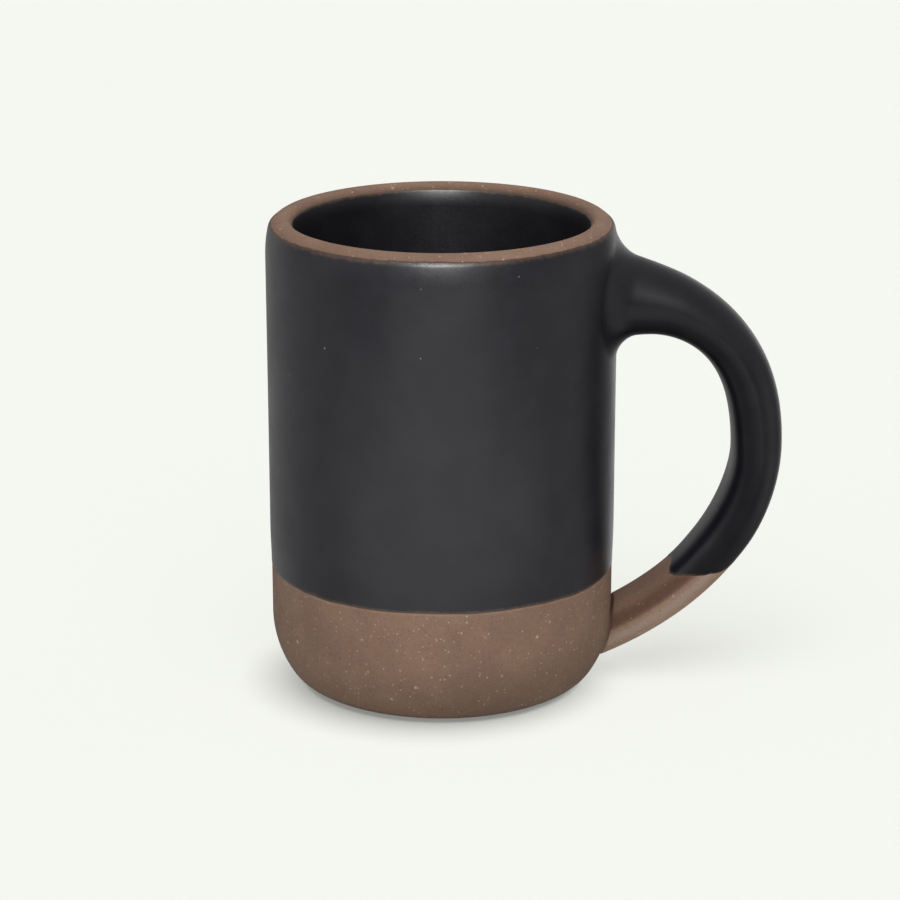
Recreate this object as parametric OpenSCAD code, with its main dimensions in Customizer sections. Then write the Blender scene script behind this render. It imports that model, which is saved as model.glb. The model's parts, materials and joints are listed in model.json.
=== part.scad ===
// Tall, straight-sided stoneware mug: bare clay at the foot and rim, dark glaze between them.
// Millimetres. The foot ring rests on Z = 0, the cup's axis is Z and the handle points along +X.

/* [Cup] */
// Overall height, from the foot ring to the rim's crown
mug_h = 112.5; // [100:0.5:125]
// Outside diameter under the rim, glaze included
rim_d = 82; // [78:0.5:88]
// Outside diameter of the bare clay where the base starts to curve in
base_d = 81; // [78:0.1:81.2]
// Distance that the base curves in, from the wall to the outer edge of the foot ring
base_in = 11; // [9.5:0.5:13]
// Height at which the base starts to curve in
base_rise = 17; // [14:0.5:20]
// Radius of the tighter, lower part of the base curve
base_foot_r = 8.5; // [7:0.5:9]
// Thickness of the clay wall under the rim
wall_t = 6.4; // [6.4:0.1:7]
// Height of the clay floor inside the cup, above the table
floor_h = 7; // [5.5:0.5:9]
// Radius of the curve between the floor and the inside wall
inner_round = 12; // [6:0.5:16]
// Radius of the outer half of the rounded rim
rim_round = 4; // [2.4:0.1:4]
// Radius of the inner edge of the rim
rim_round_in = 2; // [1.2:0.1:2.3]

/* [Foot] */
// Inside diameter of the flat foot ring
foot_inner_d = 46; // [38:1:50]
// Depth of the shallow recess inside the foot ring
foot_recess = 1.2; // [0.8:0.1:2.5]

/* [Glaze] */
// Thickness of the fired glaze outside
glaze_t = 0.3; // [0.2:0.05:0.5]
// Thickness of the thinner glaze poured inside
liner_t = 0.2; // [0.15:0.05:0.4]
// Height of the line where the dipped outside glaze stops
dip_h = 29; // [26:0.1:36]
// Width of bare clay outside the rim, measured down from the crown
bare_rim_out = 1.4; // [1:0.1:3]
// Width of bare clay inside the rim, measured down from the crown
bare_rim_in = 1.5; // [1:0.1:2.4]

/* [Handle] */
// Thickness of the grip between its inner and outer faces
grip_t = 11.6; // [10:0.2:14]
// Width of the grip from side to side
grip_w = 19; // [14:0.5:22]
// Width of the lower end where it meets the wall
tail_w = 14; // [10:0.5:16]
// Distance from the cup's axis to the middle of the grip
reach = 74.4; // [70:0.1:80]
// Height of the middle of the grip
grip_h = 57; // [52:0.5:64]
// Distance from the rim's crown down to the middle of the upper arm
upper_drop = 17.9; // [17:0.1:24]
// How far the upper arm widens, on each side, on its way to the wall
arm_swell = 4; // [2:0.5:5]
// Length of the widening
swell_len = 28; // [20:1:32]
// Radius of the fillet where the upper arm meets the wall
arm_fillet = 5; // [3:0.5:6]
// Thickness of the slip that bonds each end of the handle to the wall
slip_t = 0.5; // [0.4:0.1:0.8]

/* [Hidden] */

$fn = 180;
// Overshoot of cutting shapes past the faces that they cut
over = 2;

// Clay radii: the glaze lies on top of them
rim_r = rim_d / 2 - glaze_t;
base_r = base_d / 2;
cup_r = rim_r - wall_t;

// Base curve: a tight arc on the foot ring's edge, tangent to a wide arc below the wall
foot_arc = [base_r - base_in, base_foot_r];
base_side_r = (pow(base_in, 2) + pow(base_rise - base_foot_r, 2) - pow(base_foot_r, 2))
    / (2 * (base_in - base_foot_r));
side_arc = [base_r - base_side_r, base_rise];

// Rounded rim: centre lines and heights of its outer and inner arcs
rim_mid_r = rim_r - rim_round;
rim_out_h = mug_h - rim_round;
rim_inner_r = cup_r + rim_round_in;
rim_in_h = mug_h - rim_round_in;

// Handle centre line: two cubic curves in the XZ plane that meet at the middle of the grip.
// The upper one starts level inside the wall, and the lower one ends inside the base.
arm_h = mug_h - upper_drop;
upper_root = [rim_r - 4.7, arm_h];
shoulder = [reach - 7.3, arm_h];
above_grip = [reach, grip_h + 18];
grip = [reach, grip_h];
below_grip = [reach, grip_h - 10];
elbow = [reach - 6.5, 22.7];
lower_root = [32, 8.6];
upper_curve = [upper_root, shoulder, above_grip, grip];
lower_curve = [grip, below_grip, elbow, lower_root];

// Sweep resolution
curve_steps = 20;
ring_sides = 24;
// Squareness of the section's finger side and of its outer side, where 2 is an ellipse
inner_power = 3;
outer_power = 2;
// Distance from the wall over which the sweep stops following the cup's roundness
wrap_len = 12;

// Colours
clay_colour = [0.50, 0.40, 0.34];
slip_colour = [0.44, 0.35, 0.30];
glaze_colour = [0.20, 0.20, 0.21];

// Point and direction at t on a cubic curve with control points c
function curve_point(c, t) =
    pow(1 - t, 3) * c[0] + 3 * pow(1 - t, 2) * t * c[1]
    + 3 * (1 - t) * t * t * c[2] + pow(t, 3) * c[3];
function curve_slope(c, t) =
    pow(1 - t, 2) * (c[1] - c[0]) + 2 * (1 - t) * t * (c[2] - c[1]) + t * t * (c[3] - c[2]);
function unit(v) = v / norm(v);

// u runs from 0 at the upper end, through 1 at the grip, to 2 at the lower end
function path_point(u) = u < 1 ? curve_point(upper_curve, u) : curve_point(lower_curve, u - 1);
function path_slope(u) = unit(u < 1 ? curve_slope(upper_curve, u) : curve_slope(lower_curve, u - 1));

// Distance of the upper arm's middle from the wall
function wall_gap(u) = u < 1 ? max(0, path_point(u)[0] - rim_r) : swell_len;
function swell(gap) = gap < swell_len ? arm_swell * pow(1 - gap / swell_len, 2) : 0;
function fillet(gap) =
    gap < arm_fillet ? arm_fillet - sqrt(pow(arm_fillet, 2) - pow(arm_fillet - gap, 2)) : 0;
function flare(u) = swell(wall_gap(u)) + fillet(wall_gap(u));

// Half sizes of the section, before any glaze
function half_t(u) = grip_t / 2 + flare(u);
function half_w(u) =
    (u < 1 ? grip_w : grip_w + (tail_w - grip_w) * pow(u - 1, 2)) / 2 + flare(u);

// Section, flatter on the finger side, and how far the cup's roundness draws a point back
function side_power(a) = cos(a) < 0 ? inner_power : outer_power;
function soft(v, power) = sign(v) * pow(abs(v), 2 / power);
function wrap(u, y) =
    (rim_r - sqrt(pow(rim_r, 2) - y * y)) * pow(max(0, 1 - wall_gap(u) / wrap_len), 2);
function ring_point(u, a, grow) =
    let (c = path_point(u), d = path_slope(u), power = side_power(a),
         n = (half_t(u) + grow) * soft(cos(a), power),
         y = (half_w(u) + grow) * soft(sin(a), power))
    [c[0] - d[1] * n - wrap(u, y), y, c[1] + d[0] * n];
function ring(u, grow) =
    [for (k = [0 : ring_sides - 1]) ring_point(u, 360 * k / ring_sides, grow)];
function all_rings(grow) =
    [for (i = [0 : 2 * curve_steps]) each ring(i / curve_steps, grow)];

// Side faces between ring i and the next one, with points counted from start
function band(i, start, flip) =
    [for (k = [0 : ring_sides - 1])
        let (a = start + i * ring_sides + k,
             b = start + i * ring_sides + (k + 1) % ring_sides,
             c = b + ring_sides, d = a + ring_sides)
        each flip ? [[a, b, c], [a, c, d]] : [[a, c, b], [a, d, c]]];
function skin(start, flip) =
    [for (i = [0 : 2 * curve_steps - 1]) each band(i, start, flip)];

// Whole handle as a closed sweep that runs into the cup's wall at both ends
module handle_sweep() {
    last = 2 * curve_steps * ring_sides;
    first_cap = [[for (k = [0 : ring_sides - 1]) k]];
    last_cap = [[for (k = [ring_sides - 1 : -1 : 0]) last + k]];
    polyhedron(all_rings(0), concat(skin(0, true), first_cap, last_cap));
}

// Sleeve round the sweep, as thick as the glaze
module handle_sleeve() {
    count = (2 * curve_steps + 1) * ring_sides;
    last = 2 * curve_steps * ring_sides;
    function edge(inner, outer, flip) =
        [for (k = [0 : ring_sides - 1])
            let (n = (k + 1) % ring_sides)
            each flip ? [[inner + k, outer + n, outer + k], [inner + k, inner + n, outer + n]]
                      : [[inner + k, outer + k, outer + n], [inner + k, outer + n, inner + n]]];
    polyhedron(concat(all_rings(0), all_rings(glaze_t)),
               concat(skin(0, false), skin(count, true),
                      edge(0, count, false), edge(last, count + last, true)));
}

// Half outline of the curved base: the side arc rules above the line through both arcs'
// centres, and the foot arc rules below it
module base_outline(grow) {
    along = unit(foot_arc - side_arc);
    far = side_arc + 2 * base_side_r * along;
    intersection() {
        translate([0, -grow]) square([base_r + grow, base_rise + grow]);
        union() {
            translate([0, -grow]) square([side_arc[0], base_rise + grow]);
            translate(side_arc) circle(base_side_r + grow);
        }
        union() {
            polygon([[0, -over], [foot_arc[0], -over], foot_arc, far,
                     [far[0], base_rise + over], [0, base_rise + over]]);
            translate(foot_arc) circle(base_foot_r + grow);
        }
    }
}

// Filled half outline of the cup, grown outwards by the thickness of a coat
module cup_outline(grow) {
    base_outline(grow);
    polygon([[0, base_rise], [base_r + grow, base_rise],
             [rim_r + grow, rim_out_h], [0, rim_out_h]]);
    intersection() {
        translate([rim_mid_r, rim_out_h]) circle(rim_round + grow);
        translate([rim_mid_r, rim_out_h]) square(rim_round + over);
    }
    translate([0, rim_out_h]) square([rim_mid_r, rim_round + grow]);
}

// Half outline of the space inside the cup, drawn in by the thickness of a coat
module hollow_outline(coat) {
    fillet_r = inner_round - coat;
    side_r = cup_r - coat;
    translate([0, floor_h + coat]) square([side_r - fillet_r, mug_h]);
    translate([0, floor_h + inner_round]) square([side_r, mug_h]);
    translate([side_r - fillet_r, floor_h + inner_round]) circle(fillet_r);
    difference() {
        translate([0, rim_in_h]) square([rim_inner_r, mug_h]);
        translate([rim_inner_r, rim_in_h]) circle(rim_round_in + coat);
    }
}

module filled_cup(grow) {
    rotate_extrude() cup_outline(grow);
}

module clay_cup() {
    color(clay_colour) rotate_extrude() difference() {
        cup_outline(0);
        hollow_outline(0);
        translate([0, -over]) square([foot_inner_d / 2, foot_recess + over]);
    }
}

module clay_handle() {
    color(clay_colour) difference() {
        handle_sweep();
        filled_cup(slip_t);
    }
}

// Slip between the wall and the handle, in the part of the sweep between two heights
module slip_joint(low, high) {
    color(slip_colour) difference() {
        intersection() {
            handle_sweep();
            filled_cup(slip_t);
            translate([rim_r / 2, -rim_r, low]) cube([rim_r, rim_d, high - low]);
        }
        filled_cup(0);
    }
}

module upper_slip_joint() {
    slip_joint(grip_h, mug_h);
}

module lower_slip_joint() {
    slip_joint(0, grip_h);
}

module outer_glaze() {
    color(glaze_colour) difference() {
        rotate_extrude() difference() {
            cup_outline(glaze_t);
            cup_outline(0);
            translate([0, -over]) square([rim_d, dip_h + over]);
            translate([0, mug_h - bare_rim_out]) square([rim_d, bare_rim_out + over]);
        }
        handle_sweep();
    }
}

module liner_glaze() {
    color(glaze_colour) rotate_extrude() difference() {
        hollow_outline(0);
        hollow_outline(liner_t);
        translate([0, mug_h - bare_rim_in]) square([rim_d, mug_h]);
    }
}

module handle_glaze() {
    color(glaze_colour) difference() {
        handle_sleeve();
        filled_cup(glaze_t);
        translate([0, -rim_r, -over]) cube([reach + rim_r, rim_d, dip_h + over]);
    }
}

clay_cup();
clay_handle();
upper_slip_joint();
lower_slip_joint();
outer_glaze();
liner_glaze();
handle_glaze();
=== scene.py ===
"""Stoneware mug: the looks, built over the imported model. Metres, +Z up, the handle along +X."""
import json
import math

import bpy
import numpy as np
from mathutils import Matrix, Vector


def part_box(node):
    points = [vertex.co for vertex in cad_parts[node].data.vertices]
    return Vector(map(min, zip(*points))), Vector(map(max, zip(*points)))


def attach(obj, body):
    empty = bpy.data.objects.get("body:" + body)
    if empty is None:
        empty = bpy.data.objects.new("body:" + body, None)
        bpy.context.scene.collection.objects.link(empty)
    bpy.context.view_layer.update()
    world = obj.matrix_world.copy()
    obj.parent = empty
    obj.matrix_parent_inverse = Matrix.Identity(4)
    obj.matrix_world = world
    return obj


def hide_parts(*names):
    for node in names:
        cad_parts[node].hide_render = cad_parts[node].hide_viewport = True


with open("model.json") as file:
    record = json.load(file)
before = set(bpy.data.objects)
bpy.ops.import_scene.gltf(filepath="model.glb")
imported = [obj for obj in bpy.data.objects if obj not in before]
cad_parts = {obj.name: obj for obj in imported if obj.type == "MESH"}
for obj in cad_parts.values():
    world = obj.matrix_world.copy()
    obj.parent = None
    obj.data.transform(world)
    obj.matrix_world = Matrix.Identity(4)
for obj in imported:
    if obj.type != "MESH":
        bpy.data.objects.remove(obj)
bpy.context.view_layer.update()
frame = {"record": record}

MM = 0.001


# --------------------------------------------------------------------------------------
# Sizes: the first few read from the frame, the rest given
# --------------------------------------------------------------------------------------

def corner(node, side, axis):
    """One coordinate of a CAD node's box: side 0 is the low corner, and axis 0 to 2 is X to Z."""
    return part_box(node)[side][axis]


def mount(name):
    """The record's entry for one mount."""
    return next(m for m in frame["record"]["mounts"] if m["name"] == name)


HEIGHT = corner("clay_cup", 1, 2)
RIM_R = corner("clay_cup", 1, 1)
FLOOR_H = corner("liner_glaze", 0, 2)
LINER_TOP = corner("liner_glaze", 1, 2)
DIP_H = corner("outer_glaze", 0, 2)
GLAZE_TOP = corner("outer_glaze", 1, 2)
COAT = corner("outer_glaze", 1, 1) - RIM_R
LINER_COAT = 0.2 * MM
BORE_R = mount("mouth")["dims"]["r_mm"] * MM + LINER_COAT

# Cup's outline: the base curves in by BASE_IN below BASE_RISE, on a tight arc of BASE_FOOT_R at
# the foot and a wide arc of BASE_SIDE_R above it
BASE_R = 40.5 * MM
BASE_IN = 11.0 * MM
BASE_RISE = 17.0 * MM
BASE_FOOT_R = 8.5 * MM
BASE_SIDE_R = ((BASE_IN ** 2 + (BASE_RISE - BASE_FOOT_R) ** 2 - BASE_FOOT_R ** 2)
               / (2 * (BASE_IN - BASE_FOOT_R)))
INNER_ROUND = 12.0 * MM
RIM_ROUND = 3.2 * MM
RIM_ROUND_IN = 2.0 * MM
RIM_OUT_H = HEIGHT - RIM_ROUND
RIM_IN_H = HEIGHT - RIM_ROUND_IN
FOOT_IN_R = 23.0 * MM
FOOT_RECESS = 1.2 * MM
FOOT_EDGE = 0.6 * MM

# Turned surfaces stop at this radius and close on one point in the middle
MIDDLE_R = 1.5 * MM

# Both faces of the wall lean a little towards the rounded rim, over a short length below it
LEAN_OUT = math.radians(12)
LEAN_OUT_LEN = 6.0 * MM
LEAN_OUT_TOP = RIM_OUT_H + RIM_ROUND * math.sin(LEAN_OUT)
LEAN_OUT_BY = LEAN_OUT_LEN * math.tan(LEAN_OUT) / 2
RIM_OUT_R = RIM_R - LEAN_OUT_BY - RIM_ROUND * math.cos(LEAN_OUT)
LEAN_IN = math.radians(16)
LEAN_IN_LEN = 4.0 * MM
LEAN_IN_TOP = RIM_IN_H + RIM_ROUND_IN * math.sin(LEAN_IN)
LEAN_IN_BY = LEAN_IN_LEN * math.tan(LEAN_IN) / 2
RIM_IN_R = BORE_R + LEAN_IN_BY + RIM_ROUND_IN * math.cos(LEAN_IN)

# Handle: GRIP_T is its thickness and GRIP_W and TAIL_W are its widths at the grip and the lower
# end. SWELL is how far the upper arm widens on its way to the wall, over SWELL_LEN. The powers
# are the squareness of the finger side and of the outer side, where 2 is an ellipse.
GRIP_T = 11.6 * MM
GRIP_W = 19.0 * MM
TAIL_W = 14.0 * MM
REACH = corner("clay_handle", 1, 0) - GRIP_T / 2
GRIP_H = 57.0 * MM
ARM_H = HEIGHT - 17.9 * MM
SWELL = 4.0 * MM
SWELL_LEN = 28.0 * MM
FILLET = 5.0 * MM
SLIP = 0.5 * MM
INNER_POWER = 3.0
OUTER_POWER = 2.0

# Control points (x, z) of the centre line's two curves, which meet at the middle of the grip
UPPER_CURVE = np.array([[RIM_R - 4.7 * MM, ARM_H], [REACH - 7.3 * MM, ARM_H],
                        [REACH, GRIP_H + 18 * MM], [REACH, GRIP_H]])
LOWER_CURVE = np.array([[REACH, GRIP_H], [REACH, GRIP_H - 10 * MM],
                        [REACH - 6.5 * MM, 22.7 * MM], [32 * MM, 8.6 * MM]])

# Mesh density, and the angle from which an edge between faces is shown sharp
CUP_SIDES = 384
HANDLE_SIDES = 96
SHARP_FROM = math.radians(50)

# The glaze thins towards its dipped edge over COAT_RISE, down to a THIN_EDGE share of its full
# thickness, and ends in a rolled lip
COAT_RISE = 9.0 * MM
THIN_EDGE = 0.3
DIP_LIP = 0.15 * MM
WIPED_LIP = 0.7 * MM
LINER_LIP = 0.4 * MM

# How far a coat's hidden side sinks into the clay, so that no gap shows at its edge
BITE = 0.02 * MM

# How far the lower slip, and the handle's edge on it, are drawn in to leave a fine groove
GROOVE = 0.2 * MM


# --------------------------------------------------------------------------------------
# Small helpers
# --------------------------------------------------------------------------------------

def smooth(low, high, x):
    """0 below low, 1 above high and a smooth ramp between them."""
    t = np.clip((np.asarray(x, float) - low) / (high - low), 0, 1)
    return t * t * (3 - 2 * t)


def ripple(seed, count, theta, z, turns, per_metre):
    """Smooth variation of about -1 to 1 round the cup: seeded waves that close after a turn."""
    rng = np.random.default_rng(seed)
    total = 0
    for _ in range(count):
        lobes = rng.integers(1, turns + 1)
        rate = rng.uniform(-per_metre, per_metre) * 2 * math.pi
        total = total + np.sin(lobes * theta + rate * z + rng.uniform(0, 2 * math.pi))
    return total / math.sqrt(count)


def wobble(theta, z):
    """How far a hand-finished wall lies inside true round."""
    return 0.05 * MM * (np.tanh(ripple(3, 6, theta, z, 4, 25)) - 1)


def dip_line(theta):
    """Height of the glaze's lower edge round the cup."""
    slow = 0.16 * MM * ripple(11, 7, theta, 0, 9, 0)
    fine = 0.05 * MM * ripple(12, 8, theta, 0, 46, 0)
    return DIP_H + slow + fine


def arc(centre, radius, start, end, steps):
    """Points (r, z) on an arc, with angles in degrees from the +r direction."""
    a = np.radians(np.linspace(start, end, steps))
    return np.column_stack([centre[0] + radius * np.cos(a), centre[1] + radius * np.sin(a)])


def line(start, end, steps):
    """Evenly spaced points (r, z) on a straight line."""
    t = np.linspace(0, 1, steps)[:, None]
    return np.array(start) * (1 - t) + np.array(end) * t


def chain(*parts):
    """Joins runs of points, without the doubled point where two runs meet."""
    points = [parts[0]]
    for part in parts[1:]:
        points.append(part[1:] if np.allclose(points[-1][-1], part[0], atol=1e-9) else part)
    return np.vstack(points)


def crowd_ends(steps, power):
    """Values from 0 to 1, closer together near both ends, the more so the higher the power."""
    t = np.linspace(-1, 1, steps)
    return 0.5 + 0.5 * np.sign(t) * (1 - (1 - np.abs(t)) ** power)


def quads(rows, columns, closed_rows=False, flip=False):
    """Faces of a grid whose columns wrap round. With closed_rows the last row joins the first."""
    i = np.arange(rows if closed_rows else rows - 1)[:, None]
    k = np.arange(columns)[None, :]
    here, there = i * columns, (i + 1) % rows * columns
    following = (k + 1) % columns
    faces = np.stack([here + k, here + following, there + following, there + k], -1)
    faces = faces.reshape(-1, 4)
    return (faces[:, ::-1] if flip else faces).tolist()


def fan(start, columns, centre, flip=False):
    """Triangles from a ring of points to one centre point."""
    faces = [[start + k, start + (k + 1) % columns, centre] for k in range(columns)]
    return [face[::-1] for face in faces] if flip else faces


def make_object(name, verts, faces, material, node_name, edge=None, painted_light=None):
    """A smooth mesh that rides on the root body and stands for a CAD node.

    edge is the distance in mm of each point from the edge of the nearest glaze coat, and the last
    array is how strongly painted shade darkens and reddens the clay there, or a painted highlight
    pales it where the value is negative."""
    mesh = bpy.data.meshes.new(name)
    mesh.from_pydata(verts.tolist(), [], faces)
    for title, values in (("edge_mm", edge), ("painted_light", painted_light)):
        if values is not None:
            layer = mesh.attributes.new(title, "FLOAT", "POINT")
            layer.data.foreach_set("value", np.asarray(values, np.float32).ravel())
    mesh.shade_smooth()
    mesh.set_sharp_from_angle(angle=SHARP_FROM)
    mesh.materials.append(material)
    piece = bpy.data.objects.new(name, mesh)
    bpy.context.collection.objects.link(piece)
    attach(piece, "root")
    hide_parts(node_name)
    return piece


# --------------------------------------------------------------------------------------
# Cup
# --------------------------------------------------------------------------------------

def lean_share(z, top, length):
    """0 where a face is upright, growing to 1 at the top of its lean."""
    return np.clip((z - top) / length + 1, 0, 1)


def wall_radius(z, coat=0.0):
    """Radius of the cup's outside at height z, with a coat on it."""
    z = np.asarray(z, float)
    foot = np.sqrt(np.maximum((BASE_FOOT_R + coat) ** 2 - (BASE_FOOT_R - z) ** 2, 0))
    side = np.sqrt(np.maximum((BASE_SIDE_R + coat) ** 2 - (BASE_RISE - z) ** 2, 0))
    wall = BASE_R + coat + (RIM_R - BASE_R) * (z - BASE_RISE) / (RIM_OUT_H - BASE_RISE)
    drop = (BASE_RISE - BASE_FOOT_R) / (BASE_SIDE_R - BASE_FOOT_R)
    meet = BASE_RISE - drop * (BASE_SIDE_R + coat)
    low = np.where(z < meet, BASE_R - BASE_IN + foot, BASE_R - BASE_SIDE_R + side)
    wall = np.minimum(wall, RIM_R + coat)
    wall = wall - LEAN_OUT_BY * lean_share(z, LEAN_OUT_TOP, LEAN_OUT_LEN) ** 2
    rim = RIM_OUT_R + np.sqrt(np.maximum((RIM_ROUND + coat) ** 2 - (z - RIM_OUT_H) ** 2, 0))
    return np.where(z < BASE_RISE, low, np.where(z > LEAN_OUT_TOP, rim, wall))


def inner_radius(z):
    """Radius of the clay's inside at height z, between the floor's curve and the rim."""
    return BORE_R + LEAN_IN_BY * lean_share(z, LEAN_IN_TOP, LEAN_IN_LEN) ** 2


def wall_x(y, z, coat):
    """X of the cup's outside on the handle's side, at a place in Y and Z."""
    radius = wall_radius(z, coat)
    theta = np.arcsin(np.clip(y / radius, -1, 1))
    return np.sqrt(np.maximum((radius + wobble(theta, z)) ** 2 - y ** 2, 0))


def foot_outline():
    """Underside, from near its middle to the start of the flat foot ring."""
    depth, pitch = 0.03 * MM, 2.1 * MM
    r = np.linspace(MIDDLE_R, FOOT_IN_R - FOOT_EDGE, 70)
    trimming = depth * np.sin(2 * math.pi * r / pitch) * smooth(2 * MM, 5 * MM, r)
    fade = smooth(FOOT_IN_R - FOOT_EDGE, FOOT_IN_R - 4 * FOOT_EDGE, r)
    recess = np.column_stack([r, FOOT_RECESS + trimming * fade])
    inside = arc((FOOT_IN_R - FOOT_EDGE, FOOT_RECESS - FOOT_EDGE), FOOT_EDGE, 90, 0, 7)
    lip = arc((FOOT_IN_R + FOOT_EDGE, FOOT_EDGE), FOOT_EDGE, 180, 270, 8)
    return chain(recess, inside, lip)


def clay_outline():
    """Half section of the clay, from the underside over the rim to the middle of the floor."""
    foot = (BASE_R - BASE_IN, BASE_FOOT_R)
    side = (BASE_R - BASE_SIDE_R, BASE_RISE)
    turn_angle = math.degrees(math.atan2(foot[1] - side[1], foot[0] - side[0]))
    foot_arc = arc(foot, BASE_FOOT_R, -90, turn_angle, 22)
    side_arc = arc(side, BASE_SIDE_R, turn_angle, 0, 26)
    z_out = np.linspace(BASE_RISE, LEAN_OUT_TOP, 140)
    wall = np.column_stack([wall_radius(z_out), z_out])
    rim_out = arc((RIM_OUT_R, RIM_OUT_H), RIM_ROUND, math.degrees(LEAN_OUT), 90, 22)
    rim_in = arc((RIM_IN_R, RIM_IN_H), RIM_ROUND_IN, 90, 180 - math.degrees(LEAN_IN), 14)
    z_in = np.linspace(LEAN_IN_TOP, FLOOR_H + INNER_ROUND, 100)
    inside = np.column_stack([inner_radius(z_in), z_in])
    curve = arc((BORE_R - INNER_ROUND, FLOOR_H + INNER_ROUND), INNER_ROUND, 0, -90, 20)
    floor_line = line((BORE_R - INNER_ROUND, FLOOR_H), (MIDDLE_R, FLOOR_H), 12)
    return chain(foot_outline(), foot_arc, side_arc, wall, rim_out, rim_in, inside, curve,
                 floor_line)


def angles(sides):
    """Evenly spaced angles round a turn, as one row."""
    return np.linspace(0, 2 * math.pi, sides, endpoint=False)[None, :]


def turned(r, z, theta):
    """Points of rows of radii and heights, turned round the cup's axis, with the wall's wobble."""
    r = r + wobble(theta, z) * smooth(6 * MM, 20 * MM, r)
    return np.stack([r * np.cos(theta), r * np.sin(theta), z + 0 * theta], -1)


def close_middles(grid, low, high):
    """Points and faces of a turned grid, closed by one point at each end's middle."""
    rows, columns = grid.shape[:2]
    count = rows * columns
    verts = np.vstack([grid.reshape(-1, 3), [low, high]])
    faces = quads(rows, columns)
    faces += fan(0, columns, count, flip=True)
    faces += fan(count - columns, columns, count + 1)
    return verts, faces


def clay_cup(material):
    """Clay of the cup, turned from its half section."""
    outline = clay_outline()
    grid = turned(outline[:, :1], outline[:, 1:], angles(CUP_SIDES))
    verts, faces = close_middles(grid, [0, 0, FOOT_RECESS], [0, 0, FLOOR_H])
    below = (dip_line(np.arctan2(verts[:, 1], verts[:, 0])) - verts[:, 2]) / MM
    return make_object("clay_cup_body", verts, faces, material, "clay_cup", below)


def coat_thickness(full, from_edge, roll, thin=1.0):
    """Thickness of a coat near its edge: a rolled lip, from a thin share of it up to all of it."""
    x = np.clip(from_edge / roll, 0, 1)
    lip = np.sqrt(1 - (1 - x) ** 2)
    return full * lip * (thin + (1 - thin) * smooth(0, COAT_RISE, from_edge))


def outside_at(length):
    """(r, z, outward r, outward z) of the clay at a length along its outside above DIP_H."""
    straight = LEAN_OUT_TOP - DIP_H
    z_wall = DIP_H + np.minimum(length, straight)
    share = lean_share(z_wall, LEAN_OUT_TOP, LEAN_OUT_LEN)
    past = np.maximum(length - straight, 0) / RIM_ROUND
    tip = np.arctan(share * math.tan(LEAN_OUT)) + past
    r = np.where(past > 0, RIM_OUT_R + RIM_ROUND * np.cos(tip), wall_radius(z_wall))
    z = np.where(past > 0, RIM_OUT_H + RIM_ROUND * np.sin(tip), z_wall)
    return r, z, np.cos(tip), np.sin(tip)


def under_handle(theta, z):
    """1 where the upper arm's root covers the wall, 0 outside it."""
    y = RIM_R * np.sin(theta)
    root_w = GRIP_W / 2 + SWELL + FILLET
    root_t = GRIP_T / 2 + SWELL + FILLET
    reach = np.sqrt((y / root_w) ** 2 + ((z - ARM_H) / root_t) ** 2)
    return smooth(0.97, 0.82, reach) * (np.cos(theta) > 0)


def outer_glaze(material):
    """Coat on the outside wall, with a wavy dipped edge below and a wiped edge at the rim."""
    theta = angles(2 * CUP_SIDES)
    top_angle = math.asin((GLAZE_TOP - RIM_OUT_H) / RIM_ROUND)
    start = dip_line(theta) - DIP_H
    wiped = 0.06 * MM * ripple(21, 9, theta, 0, 70, 0) + 0.1 * MM * ripple(22, 5, theta, 0, 9, 0)
    end = LEAN_OUT_TOP - DIP_H + RIM_ROUND * (top_angle - LEAN_OUT) + wiped
    length = start + (end - start) * crowd_ends(130, 3.2)[:, None]
    r, z, out_r, out_z = outside_at(length)
    thick = np.minimum(coat_thickness(COAT, length - start, DIP_LIP, THIN_EDGE),
                       coat_thickness(COAT, end - length, WIPED_LIP))
    thick = thick * (1 - under_handle(theta, z))
    front = turned(r + out_r * thick, z + out_z * thick, theta)
    back = turned(r - out_r * BITE, z - out_z * BITE, theta)
    grid = np.concatenate([front, back[::-1]])

    # The brown band is wider at the wiped edge, so distances from it count for less
    wiped_share = 0.7
    edge = np.minimum(length - start, (end - length) * wiped_share) / MM
    faces = quads(grid.shape[0], grid.shape[1], closed_rows=True)
    return make_object("outer_glaze_coat", grid.reshape(-1, 3), faces, material, "outer_glaze",
                       np.concatenate([edge, edge[::-1]]))


def inside_outline():
    """Clay's inside and its outward directions, from the rim down to near the floor's middle."""
    rim_turn = np.radians(np.linspace(150, 180 - math.degrees(LEAN_IN), 20))
    rim_way = np.column_stack([np.cos(rim_turn), np.sin(rim_turn)])
    rim = np.array([RIM_IN_R, RIM_IN_H]) + RIM_ROUND_IN * rim_way
    leaning = LEAN_IN_TOP - LEAN_IN_LEN
    z = np.concatenate([np.linspace(LEAN_IN_TOP, leaning, 50)[1:],
                        np.linspace(leaning, FLOOR_H + INNER_ROUND, 60)[1:]])
    wall = np.column_stack([inner_radius(z), z])
    tip = np.arctan(lean_share(z, LEAN_IN_TOP, LEAN_IN_LEN) * math.tan(LEAN_IN))
    wall_way = np.column_stack([-np.cos(tip), np.sin(tip)])
    curve_turn = np.radians(np.linspace(0, -90, 26))[1:]
    curve_way = np.column_stack([-np.cos(curve_turn), -np.sin(curve_turn)])
    curve = np.array([BORE_R - INNER_ROUND, FLOOR_H + INNER_ROUND]) - INNER_ROUND * curve_way
    floor_line = line((BORE_R - INNER_ROUND, FLOOR_H), (MIDDLE_R, FLOOR_H), 70)[1:]
    floor_way = np.tile([0.0, 1.0], (len(floor_line), 1))
    points = np.vstack([rim, wall, curve, floor_line])
    return points, np.vstack([rim_way, wall_way, curve_way, floor_way])


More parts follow.
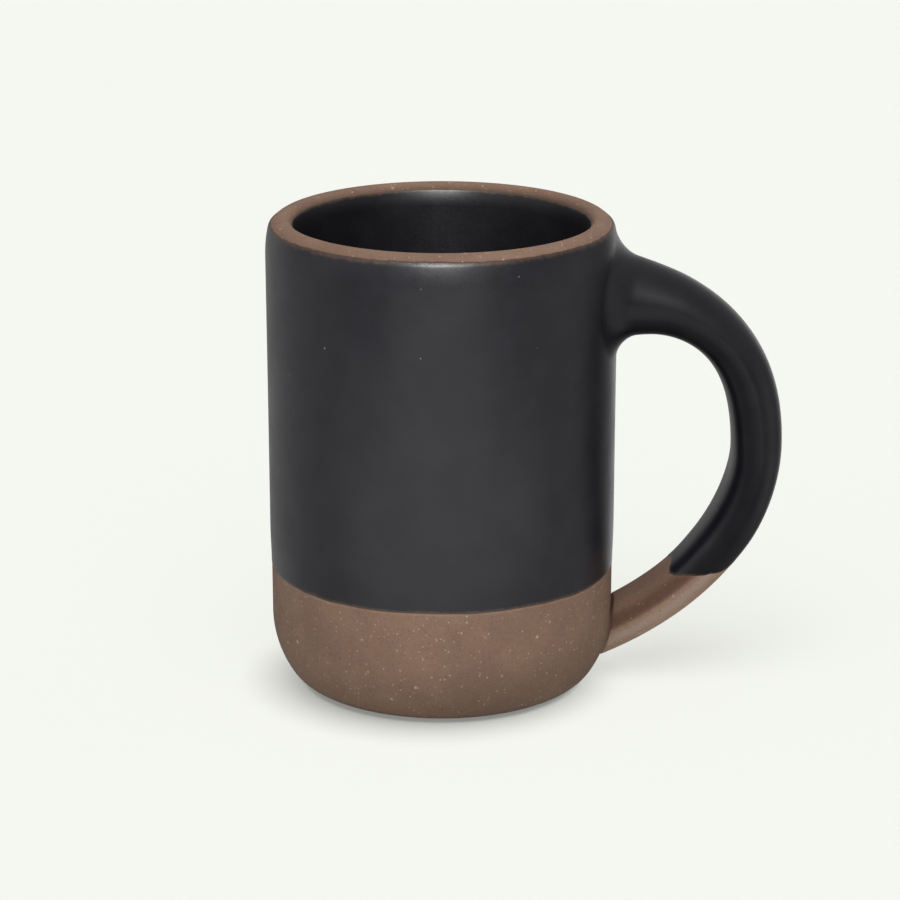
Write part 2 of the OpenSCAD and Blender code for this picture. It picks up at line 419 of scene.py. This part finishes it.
def liner_glaze(material):
    """Coat poured inside the cup, from just inside the rim to the floor."""
    points, ways = inside_outline()
    below_top = points[:, 1] <= LINER_TOP + 0.2 * MM
    r, z = points[below_top, :1], points[below_top, 1:]
    out_r, out_z = ways[below_top, :1], ways[below_top, 1:]
    theta = angles(2 * CUP_SIDES)
    steps = np.hypot(np.diff(r[:, 0]), np.diff(z[:, 0]))
    run = np.concatenate([[0], np.cumsum(steps)])[:, None]
    wiped = 0.2 + 0.05 * ripple(31, 9, theta, 0, 60, 0) + 0.06 * ripple(32, 5, theta, 0, 9, 0)
    from_edge = np.maximum(run - np.maximum(wiped, 0) * MM, 0)
    pitch, height = 4.2 * MM, 0.05 * MM
    rings = np.sin(2 * math.pi * r / pitch - theta) * smooth(25 * MM, 17 * MM, r)
    throwing = height * rings * smooth(0.9, 1, out_z)
    thick = coat_thickness(LINER_COAT, from_edge, LINER_LIP) + throwing
    thick = np.where(from_edge > 0, thick, -BITE)
    hidden = np.where(from_edge > 0, -BITE, -2 * BITE)
    front = turned(r + out_r * thick, z + out_z * thick, theta)
    back = turned(r + out_r * hidden, z + out_z * hidden, theta)
    grid = np.concatenate([back[::-1], front])
    verts, faces = close_middles(grid, [0, 0, FLOOR_H - BITE], [0, 0, FLOOR_H + LINER_COAT])
    edge = np.concatenate([from_edge[::-1], from_edge]).ravel() / MM
    return make_object("liner_glaze_coat", verts, faces, material, "liner_glaze",
                       np.append(edge, [edge.max(), edge.max()]))


# --------------------------------------------------------------------------------------
# Handle
# --------------------------------------------------------------------------------------

def bezier(control, t):
    """Points at t on a cubic curve."""
    t = t[..., None]
    return ((1 - t) ** 3 * control[0] + 3 * (1 - t) ** 2 * t * control[1]
            + 3 * (1 - t) * t ** 2 * control[2] + t ** 3 * control[3])


def bezier_slope(control, t):
    """Directions at t of a cubic curve, not of unit length."""
    t = t[..., None]
    return ((1 - t) ** 2 * (control[1] - control[0])
            + 2 * (1 - t) * t * (control[2] - control[1]) + t ** 2 * (control[3] - control[2]))


def path(u):
    """Centre (x, z) and unit direction at u: 0 in the wall, 1 at the grip, 2 in the base."""
    u = np.asarray(u, float)
    upper = (u < 1)[..., None]
    t_up, t_down = np.clip(u, 0, 1), np.clip(u - 1, 0, 1)
    centre = np.where(upper, bezier(UPPER_CURVE, t_up), bezier(LOWER_CURVE, t_down))
    slope = np.where(upper, bezier_slope(UPPER_CURVE, t_up), bezier_slope(LOWER_CURVE, t_down))
    return centre, slope / np.linalg.norm(slope, axis=-1, keepdims=True)


def u_at_gap(gap):
    """Where on the upper arm its middle lies a distance outside the wall."""
    u = np.linspace(0, 0.7, 3000)
    return np.interp(RIM_R + np.asarray(gap, float), path(u)[0][:, 0], u)


def section(angle):
    """Unit section (thickness, width): round outside, flatter on the finger side."""
    power = 2 / np.where(np.cos(angle) < 0, INNER_POWER, OUTER_POWER)
    n, y = np.cos(angle), np.sin(angle)
    return np.sign(n) * np.abs(n) ** power, np.sign(y) * np.abs(y) ** power


def handle_point(u, angle, grow=0.0, extra=0.0):
    """Points of the handle's surface. grow is a coat's thickness, extra a fillet's spread."""
    centre, way = path(u)
    gap = np.where(u < 1, centre[..., 0] - RIM_R, SWELL_LEN)
    flare = SWELL * np.maximum(1 - gap / SWELL_LEN, 0) ** 2 + grow + extra
    uneven = 0.06 * MM * (np.sin(5.1 * u + angle) + np.sin(9.7 * u - 2 * angle) - 2)
    half_t = GRIP_T / 2 + flare + uneven
    half_w = (GRIP_W + (TAIL_W - GRIP_W) * np.clip(u - 1, 0, 1) ** 2) / 2 + flare + uneven
    unit_n, unit_y = section(angle)
    n, y = half_t * unit_n, half_w * unit_y

    # Near the wall the section stands upright and follows the cup's roundness. Further out it
    # lies square across the path.
    x_across, z_across = centre[..., 0] - way[..., 1] * n, centre[..., 1] + way[..., 0] * n
    z_upright = centre[..., 1] + n
    highest = RIM_OUT_H + 0.8 * RIM_ROUND
    x_upright = wall_x(y, np.minimum(z_upright, highest), grow) + gap
    far = smooth(2 * MM, 15 * MM, gap)
    x = x_upright * (1 - far) + x_across * far
    z = z_upright * (1 - far) + z_across * far
    return np.stack([x, y, z], -1)


def fillet_rows(first_gap, steps):
    """Gap from the wall and sideways spread of rows round the root, from first_gap to FILLET."""
    start = math.acos(1 - first_gap / FILLET)
    psi = np.linspace(start, math.pi / 2, steps)[:, None]
    return FILLET * (1 - np.cos(psi)), FILLET * (1 - np.sin(psi))


def column_end(is_past, angle):
    """For each column of the lower half, the u where is_past first holds, by bisection."""
    low, high = np.ones_like(angle), np.full_like(angle, 2.0)
    for _ in range(40):
        middle = (low + high) / 2
        past = is_past(middle)
        low, high = np.where(past, low, middle), np.where(past, middle, high)
    return high


def wall_end(distance, angle):
    """Where each column comes within a distance of the cup's clay."""
    def is_past(u):
        x, y, z = np.moveaxis(handle_point(u, angle), -1, 0)
        return x < wall_x(y, z, distance)
    return column_end(is_past, angle)


def cap_rings(ring, coat):
    """Rings from a closed ring towards its middle, laid on the cup's outside, and the middle."""
    middle = ring.mean(0)
    rings = []
    for share in (0.97, 0.88, 0.7, 0.45, 0.2):
        y, z = (middle + share * (ring - middle))[:, 1:].T
        rings.append(np.column_stack([wall_x(y, z, coat), y, z]))
    point = [wall_x(middle[1], middle[2], coat), middle[1], middle[2]]
    return np.array(rings), np.array(point, float)


def capped(rows, first_coat, last_coat):
    """Points and faces of a closed tube whose two end faces lie on the cup's outside."""
    first, first_middle = cap_rings(rows[0], first_coat)
    last, last_middle = cap_rings(rows[-1], last_coat)
    grid = np.concatenate([first[::-1], rows, last])
    count, columns = grid.shape[0] * grid.shape[1], grid.shape[1]
    verts = np.vstack([grid.reshape(-1, 3), [first_middle, last_middle]])
    faces = quads(grid.shape[0], columns, flip=True)
    faces += fan(0, columns, count)
    faces += fan(count - columns, columns, count + 1, flip=True)
    return verts, faces


def handle_dip(x, y):
    """Height of the glaze's lower edge on the handle: lower on its sides, most of all inwards."""
    depth, lean = 1.7 * MM, 0.06
    sides = smooth(0.5 * MM, 8 * MM, np.abs(y)) * (depth + lean * (REACH - 14 * MM - x))
    fine = 0.1 * MM * np.sin((x + 0.7 * y) / MM) + 0.05 * MM * np.sin(3.1 * (x - y) / MM)
    return DIP_H - sides + fine


def painted_light_bands(verts):
    """Painted shade, reddened, near the front of the finger side (towards 1), and a paler painted
    highlight beside it (to -1).

    Both bands run along the handle, at a distance in mm outwards from its centre line."""
    u = np.linspace(1, 2, 400)
    centre, way = path(u)
    nearest = np.hypot(verts[:, :1] - centre[:, 0], verts[:, 2:] - centre[:, 1]).argmin(1)
    from_middle = verts[:, [0, 2]] - centre[nearest]
    outwards = (way[nearest, 0] * from_middle[:, 1] - way[nearest, 1] * from_middle[:, 0]) / MM
    # The red band is painted shade from the grip above it, and the pale band a painted highlight on
    # the ridge below
    red_at, red_width = -2.3, 2.3
    pale_at, pale_width = 1.4, 1.5
    red = np.exp(-((outwards - red_at) / red_width) ** 2)
    pale = np.exp(-((outwards - pale_at) / pale_width) ** 2)
    return (red - pale) * smooth(0, -4, verts[:, 1] / MM)


def clay_handle(material):
    """Pulled clay handle from one slip joint to the other, its lower end slightly rounded over."""
    angle = angles(HANDLE_SIDES)
    gap, spread = fillet_rows(SLIP, 14)
    root = handle_point(u_at_gap(gap), angle, 0.0, spread)
    arm = handle_point(np.linspace(u_at_gap(FILLET), 1, 70)[1:, None], angle)

    # Rows get closer together towards the lower end, where the edge is rounded over
    edge_round = 0.5 * MM
    share = 1 - (1 - np.linspace(0, 1, 110)[1:, None]) ** 1.6
    u = 1 + (wall_end(SLIP, angle) - 1) * share
    lower = handle_point(u, angle)
    from_end = np.linalg.norm(lower - lower[-1:], axis=-1)
    tuck = 1 - np.sqrt(1 - (1 - np.clip(from_end / edge_round, 0, 1)) ** 2)
    lower = handle_point(u, angle, -GROOVE * tuck)
    verts, faces = capped(np.concatenate([root, arm, lower]), SLIP, SLIP)
    below = (handle_dip(verts[:, 0], verts[:, 1]) - verts[:, 2]) / MM
    # The handle's clay gets the painted shade band and the painted highlight band along its lower
    # arm
    return make_object("clay_handle_body", verts, faces, material, "clay_handle",
                       below, painted_light_bands(verts))


def handle_glaze(material):
    """Coat on the handle, from the wall's own coat to the dip line."""
    angle = angles(2 * HANDLE_SIDES)

    # The first two rows dip under the wall's own coat, so that the coats meet without a gap
    gap, spread = fillet_rows(0, 26)
    gap = np.vstack([[[-0.05 * MM], [-0.015 * MM]], gap])
    spread = np.vstack([[[FILLET + 1.2 * MM], [FILLET + 0.4 * MM]], spread])
    u_root = u_at_gap(gap) + 0 * angle
    u_arm = np.linspace(u_at_gap(FILLET), 1, 80)[1:, None] + 0 * angle

    def is_past(u):
        x, y, z = np.moveaxis(handle_point(u, angle), -1, 0)
        return z < handle_dip(x, y)

    share = 1 - (1 - np.linspace(0, 1, 130)[1:, None]) ** 2.6
    u_lower = 1 + (column_end(is_past, angle) - 1) * share
    u = np.concatenate([u_root, u_arm, u_lower])
    extra = np.concatenate([spread, np.zeros((len(u_arm) + len(u_lower), 1))])
    clay_side = handle_point(u, angle, 0.0, extra)
    from_edge = np.linalg.norm(clay_side - clay_side[-1:], axis=-1)
    thick = coat_thickness(COAT, from_edge, DIP_LIP, THIN_EDGE)
    front = handle_point(u, angle, thick, extra)
    back = handle_point(u, angle, -BITE, extra)
    grid = np.concatenate([front, back[::-1]])
    faces = quads(grid.shape[0], grid.shape[1], closed_rows=True, flip=True)
    edge = np.concatenate([from_edge, from_edge[::-1]]) / MM
    return make_object("handle_glaze_coat", grid.reshape(-1, 3), faces, material, "handle_glaze",
                       edge)


def upper_slip_joint(material):
    """Slip between the wall and the upper arm, following the root's fillet."""
    angle = angles(HANDLE_SIDES)
    gap = np.linspace(0.02 * MM, SLIP, 8)[:, None]
    spread = FILLET * (1 - np.sqrt(1 - (1 - gap / FILLET) ** 2))
    rows = handle_point(u_at_gap(gap), angle, 0.0, spread)
    verts, faces = capped(rows, 0.0, SLIP)
    return make_object("upper_slip_layer", verts, faces, material, "upper_slip_joint")


def lower_slip_joint(material):
    """Slip between the lower end and the wall, set back to leave a fine groove."""
    angle = angles(HANDLE_SIDES)
    ends = [wall_end(distance, angle) for distance in (SLIP, SLIP / 2, 0.0)]
    rows = handle_point(np.vstack(ends), angle, -GROOVE)
    verts, faces = capped(rows, SLIP, 0.0)
    return make_object("lower_slip_layer", verts, faces, material, "lower_slip_joint")


# --------------------------------------------------------------------------------------
# Materials
# --------------------------------------------------------------------------------------

class Nodes:
    """Short way to add and link the nodes of one material."""

    def __init__(self, name):
        self.material = bpy.data.materials.new(name)
        self.material.use_nodes = True
        self.tree = self.material.node_tree
        self.tree.nodes.clear()
        self.place = self.add("ShaderNodeTexCoord").outputs["Object"]

    def add(self, kind, **settings):
        """A new node, with its own settings."""
        node = self.tree.nodes.new(kind)
        for key, value in settings.items():
            setattr(node, key, value)
        return node

    def feed(self, socket, value):
        """Links a socket to another, or gives it a constant."""
        if isinstance(value, bpy.types.NodeSocket):
            self.tree.links.new(value, socket)
        else:
            socket.default_value = value

    def noise(self, per_metre, detail=3.0, roughness=0.55):
        """Noise about 0.5, with features about 1 / per_metre wide."""
        node = self.add("ShaderNodeTexNoise")
        self.feed(node.inputs["Vector"], self.place)
        node.inputs["Scale"].default_value = per_metre
        node.inputs["Detail"].default_value = detail
        node.inputs["Roughness"].default_value = roughness
        return node.outputs["Fac"]

    def spots(self, per_metre, size, share, softness=0.3):
        """Round spots, 1 in their middles: size is a share of their spacing, share is how many."""
        node = self.add("ShaderNodeTexVoronoi")
        self.feed(node.inputs["Vector"], self.place)
        node.inputs["Scale"].default_value = per_metre
        channels = self.add("ShaderNodeSeparateColor")
        self.feed(channels.inputs[0], node.outputs["Color"])
        chosen = self.ramp(channels.outputs[0], 1 - share, 1 - share + 0.02)
        own_size = self.math("MULTIPLY_ADD", channels.outputs[1], size * 0.6, size * 0.4)
        ratio = self.math("DIVIDE", node.outputs["Distance"], own_size)
        return self.math("MULTIPLY", self.ramp(ratio, 1, 1 - softness), chosen)

    def attribute(self, name):
        """A mesh's own number at each point."""
        return self.add("ShaderNodeAttribute", attribute_name=name).outputs["Fac"]

    def math(self, operation, a, b=0.0, c=0.0):
        """One sum on sockets or numbers."""
        node = self.add("ShaderNodeMath", operation=operation)
        for socket, value in zip(node.inputs, (a, b, c)):
            self.feed(socket, value)
        return node.outputs[0]

    def ramp(self, value, low, high, out_low=0.0, out_high=1.0):
        """Smooth ramp: out_low where value is low, out_high where it is high."""
        flipped = high < low
        bounds = (high, low, out_high, out_low) if flipped else (low, high, out_low, out_high)
        node = self.add("ShaderNodeMapRange", interpolation_type="SMOOTHSTEP")
        for socket, number in zip(node.inputs, (value, *bounds)):
            self.feed(socket, number)
        return node.outputs[0]

    def mix(self, share, first, second, blend="MIX"):
        """Colour from first to second as share goes from 0 to 1."""
        node = self.add("ShaderNodeMix", data_type="RGBA", blend_type=blend)
        sockets = [s for s in node.inputs if s.type == "RGBA"]
        self.feed(node.inputs[0], share)
        self.feed(sockets[0], rgba(first))
        self.feed(sockets[1], rgba(second))
        return next(s for s in node.outputs if s.type == "RGBA")

    def bump(self, height, distance, strength=1.0, below=None):
        """Normal bent by a height, on top of another bump if one is given."""
        node = self.add("ShaderNodeBump")
        self.feed(node.inputs["Height"], height)
        node.inputs["Distance"].default_value = distance
        node.inputs["Strength"].default_value = strength
        if below is not None:
            self.feed(node.inputs["Normal"], below)
        return node.outputs["Normal"]

    def finish(self, colour, roughness, normal, **constants):
        """Ends the material with a shader and returns it."""
        shader = self.add("ShaderNodeBsdfPrincipled")
        self.feed(shader.inputs["Base Color"], colour)
        self.feed(shader.inputs["Roughness"], roughness)
        self.feed(shader.inputs["Normal"], normal)
        for key, value in constants.items():
            shader.inputs[key.replace("_", " ")].default_value = value
        output = self.add("ShaderNodeOutputMaterial")
        self.feed(output.inputs["Surface"], shader.outputs[0])
        return self.material


def rgba(colour):
    """Colours given as three numbers get their fourth, and sockets pass unchanged."""
    return (*colour, 1.0) if isinstance(colour, tuple) else colour


def clay_material(name, warm, cool, fleck, fleck_share, pale_line, painted_light=None):
    """Matt groggy stoneware: mottled body, fine grain, pale flecks and small dark pits.

    pale_line is how strong the pale line under the glaze's edge is at most. The last argument holds
    the two colours of the painted light bands: a red-brown painted shade where the mesh's attribute
    of that name is 1, and a pale painted highlight where it is -1."""
    n = Nodes(name)

    # Body: mottled, darkened by a painted shade band and lightened by a painted highlight band in
    # places, and grained
    body = n.mix(n.ramp(n.noise(70, 4), 0.35, 0.65), warm, cool)
    if painted_light:
        # Painted shade where the attribute is 1, painted highlight where it is -1
        painted_light_share = n.attribute("painted_light")
        body = n.mix(n.ramp(painted_light_share, 0, 1), body, painted_light[0])
        body = n.mix(n.ramp(painted_light_share, 0, -1), body, painted_light[1])
    grain = n.ramp(n.noise(2200, 3, 0.7), 0.3, 0.7, 0.79, 1.21)
    body = n.mix(1.0, body, n.mix(grain, (0.0, 0.0, 0.0), (1.0, 1.0, 1.0)), "MULTIPLY")

    # Pale flecks of two sizes, and small dark pits
    flecks = n.math("MAXIMUM", n.spots(360, 0.24, 0.7 * fleck_share, 0.7),
                    n.spots(1000, 0.34, 1.3 * fleck_share, 0.7))
    flecks = n.math("MULTIPLY", flecks, n.ramp(n.noise(1900, 2), 0.35, 0.55, 0.3, 1))
    pits = n.spots(520, 0.16, 0.3, 0.5)
    colour = n.mix(n.math("MULTIPLY", flecks, 0.55), body, fleck)
    colour = n.mix(n.math("MULTIPLY", pits, 0.6), colour, tuple(0.35 * c for c in warm))

    # Pale line just below the glaze's edge, stronger in some places than in others
    below_glaze = n.attribute("edge_mm")
    halo = n.math("MULTIPLY", n.ramp(below_glaze, 0.75, 0.1), n.ramp(below_glaze, -0.2, 0.0))
    halo = n.math("MULTIPLY", halo, n.ramp(n.noise(160, 2), 0.35, 0.6, 0.25 * pale_line, pale_line))
    colour = n.mix(halo, colour, fleck)

    # Surface: fine grain with raised flecks and sunken pits, over broader waves
    roughness = n.ramp(n.noise(400, 3), 0.3, 0.7, 0.72, 0.9)
    height = n.math("ADD", n.noise(1500, 4, 0.65), n.math("MULTIPLY", flecks, 0.35))
    height = n.math("SUBTRACT", height, n.math("MULTIPLY", pits, 0.8))
    normal = n.bump(n.noise(220, 2), 0.12 * MM, 0.5)
    normal = n.bump(height, 0.06 * MM, 0.8, normal)
    return n.finish(colour, roughness, normal, IOR=1.45)


def glaze_material(name, dark, light):
    """Satin near-black glaze: thin and brown at its edges, with sparse pale specks."""
    brown, speck = (0.060, 0.034, 0.022), (0.22, 0.17, 0.13)
    n = Nodes(name)

    # Colour: a mottled body, brown at a ragged thin edge, and specks
    body = n.mix(n.ramp(n.noise(140, 4), 0.35, 0.65), dark, light)
    ragged = n.ramp(n.noise(900, 3), 0.2, 0.8, -0.25, 0.25)
    thin = n.ramp(n.math("ADD", n.attribute("edge_mm"), ragged), 0.9, 0.05)
    body = n.mix(n.math("MULTIPLY", thin, 0.7), body, brown)
    specks = n.spots(230, 0.075, 0.10, 0.5)
    body = n.mix(n.math("MULTIPLY", specks, 0.6), body, speck)

    # Surface: patches of slightly different gloss, and a faint orange peel
    matt = n.ramp(n.noise(60, 3), 0.3, 0.7, 0.33, 0.40)
    roughness = n.math("ADD", matt, n.ramp(n.noise(2600, 2), 0.3, 0.7, -0.03, 0.03))
    peel = n.bump(n.noise(420, 2), 0.05 * MM, 0.35)
    normal = n.bump(n.noise(2600, 3, 0.6), 0.012 * MM, 0.5, peel)
    return n.finish(body, roughness, normal, IOR=1.5)


def floor_material():
    """Plain pale light table: it glows a little, so that shadows on it stay pale."""
    n = Nodes("pale_floor")
    colour = n.mix(n.noise(3, 2), (0.150, 0.152, 0.144), (0.153, 0.155, 0.147))
    return n.finish(colour, 0.95, n.bump(n.noise(300, 2), 0.01 * MM, 0.1), IOR=1.05,
                    Emission_Color=(0.913, 0.922, 0.879, 1.0), Emission_Strength=0.14)


# --------------------------------------------------------------------------------------
# Studio
# --------------------------------------------------------------------------------------

def floor():
    """A wide sheet under the mug, finer near it."""
    half, steps = 4.0, 41
    t = np.linspace(-1, 1, steps)
    x, y = np.meshgrid(half * t ** 3, half * t ** 3)
    verts = np.stack([x, y, 0 * x - BITE], -1).reshape(-1, 3)
    i, k = np.meshgrid(np.arange(steps - 1), np.arange(steps - 1), indexing="ij")
    a = i * steps + k
    faces = np.stack([a, a + 1, a + steps + 1, a + steps], -1).reshape(-1, 4).tolist()
    mesh = bpy.data.meshes.new("floor")
    mesh.from_pydata(verts.tolist(), [], faces)
    mesh.shade_smooth()
    mesh.materials.append(floor_material())
    sheet = bpy.data.objects.new("floor", mesh)
    sheet.visible_glossy = False
    bpy.context.collection.objects.link(sheet)
    return sheet


def aim(thing, target):
    """Points a camera or light's -Z at a target, with its +Y as far up as it can be."""
    way = Vector(target) - thing.location
    thing.rotation_euler = way.to_track_quat("-Z", "Y").to_euler()


def softbox(name, place, target, size, watts, only=()):
    """Rectangular lamp of a size in metres. With only, it lights just those pieces."""
    lamp = bpy.data.lights.new(name, "AREA")
    lamp.shape, lamp.size, lamp.size_y = "RECTANGLE", size[0], size[1]
    hang(lamp, place, target, watts, only)


def hang(lamp, place, target, energy, only, shading=()):
    """Places and aims a lamp that the camera can't see, for some receivers and shadow casters."""
    name = lamp.name
    lamp.energy = energy
    lamp_object = bpy.data.objects.new(name, lamp)
    lamp_object.location = place
    lamp_object.visible_camera = False
    linking = lamp_object.light_linking
    for title, limit, pieces in (("lights", "receiver_collection", only),
                                 ("shades", "blocker_collection", shading)):
        if pieces:
            group = bpy.data.collections.new(name + "_" + title)
            for piece in pieces:
                group.objects.link(piece)
            setattr(linking, limit, group)
    bpy.context.collection.objects.link(lamp_object)
    aim(lamp_object, target)


def world_light():
    """Even light from above. Below, reflections see paler surroundings behind than in front."""
    world = bpy.data.worlds.new("studio")
    world.use_nodes = True
    tree = world.node_tree

    def ramp(value, bounds):
        node = tree.nodes.new("ShaderNodeMapRange")
        node.interpolation_type = "SMOOTHSTEP"
        for socket, item in zip(node.inputs, (value, *bounds)):
            if isinstance(item, bpy.types.NodeSocket):
                tree.links.new(item, socket)
            else:
                socket.default_value = item
        return node.outputs[0]

    way = tree.nodes.new("ShaderNodeSeparateXYZ")
    tree.links.new(tree.nodes.new("ShaderNodeTexCoord").outputs["Generated"], way.inputs[0])
    x, y, z = way.outputs

    # Strength by direction: x towards the handle's side, y away from the camera and z up
    left = ramp(y, (-0.9, -0.2, 0.10, 0.47))
    right = ramp(y, (0.74, 0.95, ramp(y, (0.1, 0.55, left, 0.16)), 1.2))
    level = ramp(x, (-0.2, 0.2, left, right))
    below = ramp(z, (-0.95, -0.45, 0.08, level))
    above = ramp(y, (-0.3, 0.3, ramp(x, (0.1, 0.75, 0.80, 0.30)), 0.30))
    tree.links.new(ramp(z, (-0.1, 0.35, below, above)),
                   tree.nodes["Background"].inputs["Strength"])
    tree.nodes["Background"].inputs["Color"].default_value = (1.0, 1.0, 1.0, 1.0)
    bpy.context.scene.world = world


def table_lamp(name, place, degrees, strength, sheet, shading):
    """A sun overhead that lights the table only and is shaded by one piece only."""
    lamp = bpy.data.lights.new(name, "SUN")
    lamp.angle = math.radians(degrees)
    hang(lamp, place, (0, 0, 0), strength, [sheet], [shading])


def studio(sheet, cup, coat, liner, handle, handle_coat):
    """The world and the lamps. Some lamps light a few pieces only, as flags in a studio do."""
    world_light()
    middle, mouth = (0, 0, HEIGHT / 2), (0, 0, HEIGHT)

    # Main light, from the front and above
    softbox("front_top", (0, -0.7, 1.2), middle, (0.6, 0.35), 6, [cup, coat, liner, handle])

    # Bright cards on the table, which throw light up at the wall, the handle and the base
    card_h = 0.5 * MM
    softbox("front_card", (0.0, -0.32, card_h), (0.0, -0.32, 1), (0.38, 0.48), 0.52,
            [cup, coat, liner])
    softbox("handle_card", (0.17, -0.35, card_h), (0.17, -0.35, 1), (0.16, 0.40), 0.15,
            [handle_coat])
    softbox("base_card", (0.0, -0.16, card_h), (0.0, -0.16, 1), (0.3, 0.16), 0.2, [cup])

    # Highlights: along the upper arm, under the rim, on the far inside wall and on the rim
    softbox("handle_high", (0, -0.95, 1.1), middle, (0.5, 0.12), 16, [handle_coat])
    softbox("front_high", (0, -1.42, 0.82), mouth, (0.65, 0.45), 25, [coat, liner])
    softbox("mouth", (0, -0.45, 1.1), mouth, (0.3, 0.3), 3, [liner])
    softbox("rim", (0.35, 0, 1.15), mouth, (0.5, 0.5), 7.5, [cup])

    # Low light from the right on the lower arm
    softbox("low_side", (0.45, -0.35, 0.04), (0.05, 0, 0.02), (0.2, 0.1), 0.5, [handle])

    # Shadows on the table: under the cup, and softer under the handle
    table_lamp("overhead", (0.03, 0.03, 1.2), 12, 11.3, sheet, liner)
    table_lamp("overhead_wide", (0, -0.6, 1.2), 50, 4.0, sheet, handle)


def camera():
    """Long lens from the front, looking down at the mug with the handle at the right."""
    pitch = math.radians(17.02)
    distance = 0.7998
    target = (1.94 * MM, 0, HEIGHT / 2 - 0.45 * MM)
    lens = bpy.data.cameras.new("camera")
    lens.sensor_width, lens.lens, lens.clip_end = 36, 135.28, 50
    view = bpy.data.objects.new("camera", lens)
    view.location = (target[0], -distance * math.cos(pitch), target[2] + distance * math.sin(pitch))
    bpy.context.collection.objects.link(view)
    aim(view, target)
    bpy.context.scene.camera = view
    bpy.context.scene.view_settings.view_transform = "Standard"


# --------------------------------------------------------------------------------------
# Build
# --------------------------------------------------------------------------------------

camera()
sheet = floor()

clay = clay_material("bare_stoneware", warm=(0.182, 0.108, 0.071), cool=(0.154, 0.091, 0.062),
                     fleck=(0.50, 0.38, 0.28), fleck_share=0.40, pale_line=0.1)
# The handle's clay is the cup's clay painted brighter, as painted light; its last two colours are
# the painted shade and the painted highlight
brightened_handle_clay = clay_material("handle_stoneware_painted_brighter",
                            warm=(0.285, 0.178, 0.124), cool=(0.240, 0.150, 0.106),
                            fleck=(0.46, 0.35, 0.26), fleck_share=0.16, pale_line=0.05,
                            painted_light=((0.115, 0.055, 0.034), (0.305, 0.218, 0.172)))
slip = clay_material("fired_slip", warm=(0.20, 0.125, 0.090), cool=(0.17, 0.108, 0.080),
                     fleck=(0.40, 0.31, 0.24), fleck_share=0.15, pale_line=0)
glaze = glaze_material("satin_black_glaze",
                       dark=(0.0042, 0.0039, 0.0062), light=(0.0060, 0.0056, 0.0084))
# The inside's glaze is the satin black glaze painted a little darker, as painted shade inside the
# cup
darkened_inside_glaze = glaze_material("liner_glaze",
                              dark=(0.0035, 0.0032, 0.0045), light=(0.0050, 0.0046, 0.0062))

cup, coat, liner = clay_cup(clay), outer_glaze(glaze), liner_glaze(darkened_inside_glaze)
handle, handle_coat = clay_handle(brightened_handle_clay), handle_glaze(glaze)
upper_slip_joint(slip)
lower_slip_joint(slip)
studio(sheet, cup, coat, liner, handle, handle_coat)
